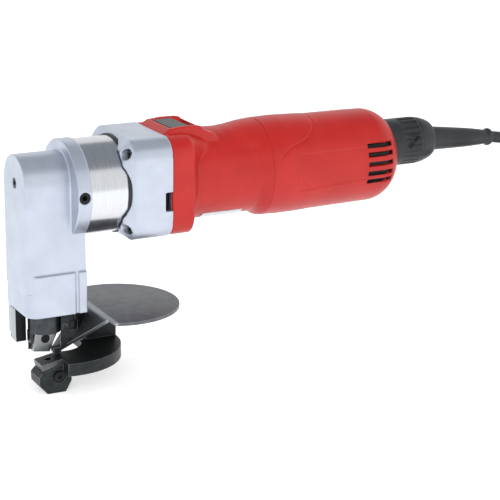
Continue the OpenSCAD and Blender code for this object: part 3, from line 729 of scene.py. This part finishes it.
def ground_steel(name, low, high, highlight_and_wear, roughness, highlight_and_wear_share=0.8, edge_mm=0.45, metallic=1.0, grain_mm=0.4):
    """Steel with a mottled ground face, and edges lightened in patches, partly as wear and partly as a
    painted highlight.
    """
    p = Paint(name, low, roughness, metallic)
    cloud, grain = p.noise(5, 4), p.noise(grain_mm, 3, (1, 0.25, 1))
    edge, round_normal = p.edges(edge_mm)
    # Edges are lightened in patches: partly wear, partly a painted highlight.
    edge_highlight_and_wear = p.math("MULTIPLY", edge, p.fit(cloud, 0.3, 0.6, 0.45 * highlight_and_wear_share, highlight_and_wear_share))
    colour = p.blend(p.fit(p.math("ADD", cloud, grain), 0.7, 1.3, 0, 1), low, high)
    p.wire("Base Color", p.blend(edge_highlight_and_wear, colour, highlight_and_wear))
    p.wire("Roughness", p.fit(grain, 0.25, 0.75, roughness - 0.07, roughness + 0.08))
    p.wire("Normal", p.bump(grain, 0.01, round_normal, 0.6))
    return p.material


def plate_steel():
    """Grey hardened plate, ground across, with a painted highlight along the bend line and on its edges."""
    p = Paint("plate_steel", "5A5E62", 0.42, 0.8)
    cloud, grain = p.noise(6, 4), p.noise(0.5, 3, (1, 0.18, 1))
    edge, round_normal = p.edges(0.4)
    colour = p.blend(p.fit(p.math("ADD", cloud, grain), 0.7, 1.3, 0, 1), "54585C", "6C7074")
    # A painted highlight: a bright band of B9BDC1 along the bend line.
    bend = p.math("ABSOLUTE", p.math("SUBTRACT", p.axis("Y"), float(at(0, BEND_S + 0.6, 0).y)), 0)
    highlight_and_wear = p.fit(bend, 2.4 * MM, 1.2 * MM, 0, 0.75)
    colour = p.blend(p.math("MULTIPLY", highlight_and_wear, p.fit(grain, 0.2, 0.6, 0.6, 1)), colour, "B9BDC1")
    # The edges are lightened towards D8DBDD as a painted highlight.
    p.wire("Base Color", p.blend(p.math("MULTIPLY", edge, 0.75), colour, "D8DBDD"))
    p.wire("Roughness", p.fit(grain, 0.25, 0.75, 0.36, 0.5))
    p.wire("Normal", p.bump(grain, 0.012, round_normal, 0.6))
    return p.material


def moulded(name, low, high, roughness, grain_mm=0.3, depth=0.01, edge_highlight_share=0.25, gloss=0.4, edge_mm=0.35):
    """Moulded plastic or rubber with a fine spark texture, and a painted highlight along its edges."""
    p = Paint(name, low, roughness, 0.0)
    p.shader.inputs["Specular IOR Level"].default_value = gloss
    cloud, grain = p.noise(18, 3), p.noise(grain_mm, 2)
    edge, round_normal = p.edges(edge_mm)
    colour = p.blend(p.fit(cloud, 0.3, 0.7, 0, 1), low, high)
    # The edges are lightened towards the high colour as a painted highlight.
    edge_highlighted = p.blend(p.math("MULTIPLY", edge, edge_highlight_share), colour, high)
    p.wire("Base Color", edge_highlighted)
    p.wire("Roughness", p.fit(grain, 0.3, 0.7, roughness - 0.05, roughness + 0.06))
    p.wire("Normal", p.bump(grain, depth, round_normal, 0.5))
    return p.material


def guide_steel():
    """Blackened block whose front faces are ground bright."""
    p = Paint("guide_steel", "1E2122", 0.38, 0.8)
    grain = p.noise(0.4, 3, (1, 0.25, 1))
    normal = p.node("ShaderNodeTexCoord").outputs["Normal"]
    front = p.fit(p.node("ShaderNodeSeparateXYZ", {"Vector": normal}).outputs["Y"], -0.85, -0.95, 0, 1)
    edge, round_normal = p.edges(0.4)
    bright = p.blend(p.fit(grain, 0.3, 0.7, 0, 1), "9A9EA2", "B4B8BB")
    # The edges of the dark faces are lightened towards 6A6E71 as a painted highlight.
    colour = p.blend(front, p.blend(p.math("MULTIPLY", edge, 0.5), "1E2122", "6A6E71"), bright)
    p.wire("Base Color", colour)
    p.wire("Roughness", p.fit(grain, 0.25, 0.75, 0.3, 0.44))
    p.wire("Normal", p.bump(grain, 0.01, round_normal, 0.6))
    return p.material


def wound(name, low, high, roughness, wire_mm):
    """Bundles of wire: fine parallel ridges."""
    p = Paint(name, low, roughness, 0.3)
    ridges = p.noise(wire_mm, 1, (1, 0.1, 1))
    p.wire("Base Color", p.blend(p.fit(ridges, 0.3, 0.7, 0, 1), low, high))
    p.wire("Normal", p.bump(ridges, 0.2))
    return p.material


MATERIALS = {
    "painted_casting": painted_casting(),
    "bright_steel": turned_steel("bright_steel", "C9CCD0", "DDDFE2", 0.2),
    "bearing_steel": turned_steel("bearing_steel", "A9ACB0", "BFC2C5", 0.25),
    "dark_steel": ground_steel("dark_steel", "202425", "34393A", "A9ADAE", 0.42, 0.75, 0.5, 0.75),
    "plate_steel": plate_steel(),
    "plunger_steel": ground_steel("plunger_steel", "34383A", "4E5254", "A5A9AB", 0.33, 0.5),
    "blade_steel": ground_steel("blade_steel", "8C9092", "A9ADAE", "E6E8E9", 0.34, 0.7),
    "gear_steel": ground_steel("gear_steel", "6E7072", "8A8C8E", "B9BBBD", 0.35, 0.5),
    "black_screws": ground_steel("black_screws", "121314", "1E2021", "6E7274", 0.36, 0.6, 0.25, 0.6),
    "zinc_screws": ground_steel("zinc_screws", "9A9DA0", "B4B7BA", "D5D7D9", 0.3, 0.4),
    "red_plastic": moulded("red_plastic", "A31A16", "AE211C", 0.38, 0.35, 0.008, 0.3, 0.35),
    "knob_plastic": moulded("knob_plastic", "3C4043", "54595C", 0.4, 0.3, 0.01, 0.5),
    "black_plastic": moulded("black_plastic", "16181A", "26292B", 0.42, 0.35, 0.012, 0.5),
    "black_rubber": moulded("black_rubber", "1A1D1E", "2B2F31", 0.45, 0.4, 0.015, 0.4),
    "cord_rubber": moulded("cord_rubber", "17191A", "272A2C", 0.42, 0.5, 0.012, 0.3),
    "label_metal": ground_steel("label_metal", "B4B8BC", "CDD0D3", "E8EAEC", 0.3, 0.3),
    "lamination": turned_steel("lamination", "4A4D50", "6A6D70", 0.4, 0.2, 0.5),
    "copper_wire": wound("copper_wire", "7A3A14", "B5652E", 0.3, 0.5),
    "copper_bar": turned_steel("copper_bar", "B8714A", "D28E64", 0.25),
    "brass": ground_steel("brass", "B08D42", "C8A55A", "E6CF95", 0.28, 0.4),
    "bronze": ground_steel("bronze", "7C6030", "957640", "C4A873", 0.33, 0.4),
    "carbon": moulded("carbon", "1C1C1E", "2E2E30", 0.5, 0.4, 0.02, 0.3),
}


# Nodes whose look differs from the rest of their material slot
SPECIAL = {
    "hold_down": guide_steel(),
    "lower_blade": ground_steel("fixed_blade_steel", "54585A", "707476", "C4C7C9", 0.36, 0.7),
}


def slot_colour(mesh, material, recess_shade_material=None):
    """Sets the mesh's material, and the black painted shade for its marked faces."""
    marks = np.zeros(len(mesh.polygons), np.int32)
    if recess_shade_material:
        mesh.polygons.foreach_get("material_index", marks)
    mesh.materials.clear()
    mesh.materials.append(material)
    if recess_shade_material:
        mesh.materials.append(recess_shade_material)
        mesh.polygons.foreach_set("material_index", marks)


def dress():
    """Gives each CAD node that still shows, and each made piece, its material."""
    slots = {item["node"]: item["material_slot"] for item in frame["record"]["subparts"]}
    for name, node in frame["nodes"].items():
        slot_colour(node.data, SPECIAL.get(name, MATERIALS[slots[name]]))
    # Black painted shade for the floors of the switch opening and of the vent slots.
    painted_recess_shade = moulded("painted_recess_shade_black", "050505", "0A0A0A", 0.6)
    for piece in bpy.context.scene.objects:
        if piece.get("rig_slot") in MATERIALS:
            two = piece.name in ("motor_housing_look", "rear_cover_look")
            if piece.type == "MESH":
                slot_colour(piece.data, MATERIALS[piece["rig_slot"]], painted_recess_shade if two else None)
            else:
                piece.data.materials.clear()
                piece.data.materials.append(MATERIALS[piece["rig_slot"]])


dress()

# ---------- studio ----------
FLOOR_SIZE = 12


def make_floor():
    mesh = bpy.data.meshes.new("floor")
    half = FLOOR_SIZE / 2
    corners = [(-half, -half, 0), (half, -half, 0), (half, half, 0), (-half, half, 0)]
    mesh.from_pydata(corners, [], [(0, 1, 2, 3)])
    floor = bpy.data.objects.new("floor", mesh)
    bpy.context.scene.collection.objects.link(floor)
    p = Paint("floor", "F4F4F4", 0.8, Emission_Strength=0.45, Emission_Color=(1, 1, 1, 1))
    mesh.materials.append(p.material)


def add_area(name, place, aim, size, power):
    lamp = bpy.data.lights.new(name, "AREA")
    lamp.shape = "RECTANGLE"
    lamp.size, lamp.size_y = size
    lamp.energy = power
    light = bpy.data.objects.new(name, lamp)
    light.visible_glossy = False
    bpy.context.scene.collection.objects.link(light)
    way = Vector(aim) - Vector(place)
    light.matrix_world = Matrix.Translation(place) @ way.to_track_quat("-Z", "Y").to_matrix().to_4x4()


def make_world():
    """White surround up to a set height, and a darker grey overhead for the metals to reflect."""
    world = bpy.data.worlds.new("studio")
    bpy.context.scene.world = world
    world.use_nodes = True
    tree = world.node_tree
    place = tree.nodes.new("ShaderNodeTexCoord")
    split = tree.nodes.new("ShaderNodeSeparateXYZ")
    ramp = tree.nodes.new("ShaderNodeValToRGB")
    tree.links.new(place.outputs["Generated"], split.inputs[0])
    tree.links.new(split.outputs["Z"], ramp.inputs[0])
    ramp.color_ramp.elements[0].position = 0.66
    ramp.color_ramp.elements[0].color = (1.0, 1.0, 1.0, 1)
    ramp.color_ramp.elements[1].position = 0.72
    ramp.color_ramp.elements[1].color = (0.30, 0.32, 0.35, 1)
    sky = tree.nodes["Background"]
    tree.links.new(ramp.outputs[0], sky.inputs["Color"])
    sky.inputs["Strength"].default_value = 1.0


def make_lights():
    middle = (0, 0, 0.1)
    add_area("key", (1.1, -0.9, 0.75), middle, (0.9, 0.7), 6.5)
    add_area("side", (1.2, 0.7, 0.45), middle, (0.8, 0.8), 4.5)
    add_area("top", (-0.1, 0, 1.2), middle, (0.9, 0.9), 5)


make_floor()
make_world()
make_lights()
bpy.context.scene.view_settings.view_transform = "Standard"

bpy.context.view_layer.update()
